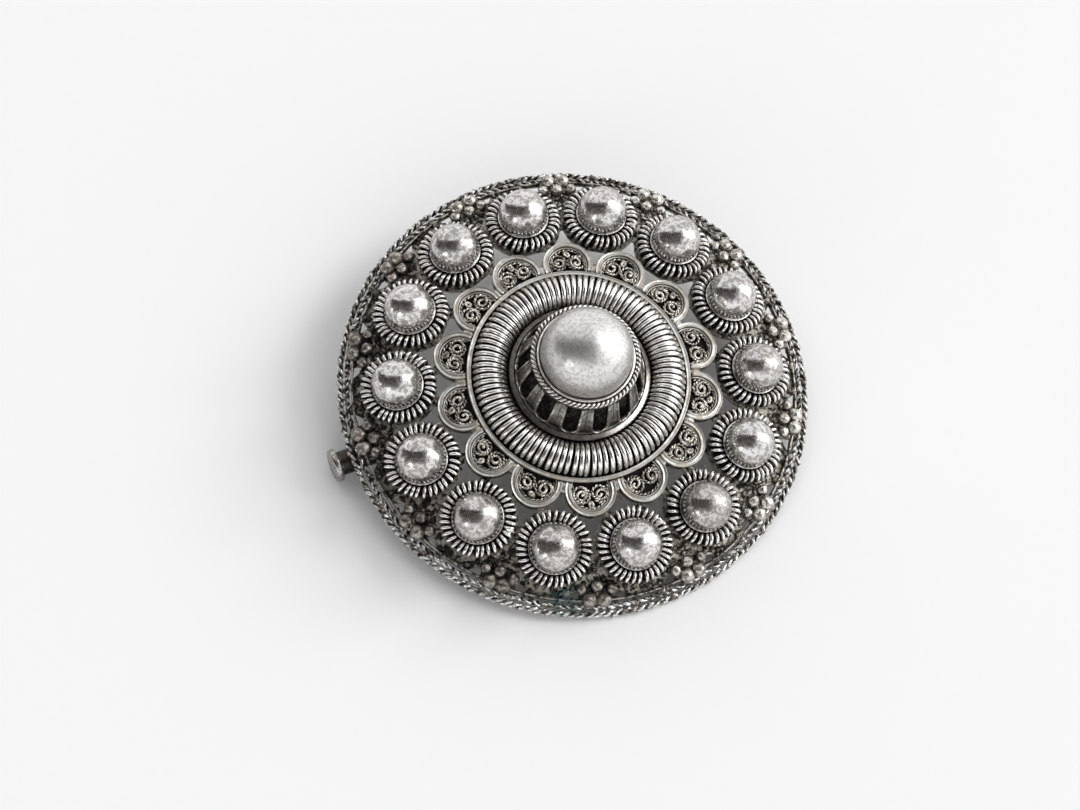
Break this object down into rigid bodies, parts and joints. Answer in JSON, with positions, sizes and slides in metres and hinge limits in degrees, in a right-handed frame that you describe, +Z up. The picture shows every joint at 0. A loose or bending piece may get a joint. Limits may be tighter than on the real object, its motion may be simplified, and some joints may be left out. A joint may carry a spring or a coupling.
{
  "type": "filigree brooch",
  "caption": "Round domed filigree brooch in tarnished silver, with a ring of raised bosses, a pierced gallery, a middle dome and a sliding catch.",
  "frame": {"origin": "middle of the bounding box at the table, with the brooch lying face up on its rim, its catch's knob and its pin's knuckle", "axes": "+Z up; X along the pin, with the catch at -X; +Y towards the side of the rim that the fastening lifts"},
  "size_m": [0.0486, 0.0466, 0.0172],
  "materials": {
    "wire_silver": "tarnished, dark between the wires",
    "polished_silver": "polished, faintly spotted",
    "dark_silver": "dull, darkened"
  },
  "bodies": {
    "body": {"base_plate": "dark_silver", "rim_rope_outer": "wire_silver", "rim_rope_inner": "wire_silver", "rim_fillet": "wire_silver", "boss_1": "polished_silver", "boss_2": "polished_silver", "boss_3": "polished_silver", "boss_4": "polished_silver", "boss_5": "polished_silver", "boss_6": "polished_silver", "boss_7": "polished_silver", "boss_8": "polished_silver", "boss_9": "polished_silver", "boss_10": "polished_silver", "boss_11": "polished_silver", "boss_12": "polished_silver", "boss_13": "polished_silver", "boss_14": "polished_silver", "boss_coil_1": "wire_silver", "boss_coil_2": "wire_silver", "boss_coil_3": "wire_silver", "boss_coil_4": "wire_silver", "boss_coil_5": "wire_silver", "boss_coil_6": "wire_silver", "boss_coil_7": "wire_silver", "boss_coil_8": "wire_silver", "boss_coil_9": "wire_silver", "boss_coil_10": "wire_silver", "boss_coil_11": "wire_silver", "boss_coil_12": "wire_silver", "boss_coil_13": "wire_silver", "boss_coil_14": "wire_silver", "granules_1": "wire_silver", "granules_2": "wire_silver", "granules_3": "wire_silver", "granules_4": "wire_silver", "granules_5": "wire_silver", "granules_6": "wire_silver", "granules_7": "wire_silver", "granules_8": "wire_silver", "granules_9": "wire_silver", "granules_10": "wire_silver", "granules_11": "wire_silver", "granules_12": "wire_silver", "granules_13": "wire_silver", "granules_14": "wire_silver", "scallop_band": "wire_silver", "scallop_spirals": "wire_silver", "ribbon_ring": "wire_silver", "main_coil": "wire_silver", "inner_strip": "polished_silver", "gallery": "wire_silver", "bezel_rope": "wire_silver", "bezel_collar": "wire_silver", "middle_dome": "polished_silver", "pin": "wire_silver", "catch_tube": "dark_silver"},
    "slide": {"catch_slide": "polished_silver"}
  },
  "joints": [
    {"name": "catch_slide_out", "type": "slide", "parent": "body", "child": "slide", "axis": [-1, 0, 0], "range_m": [0, 0.0028]}
  ]
}
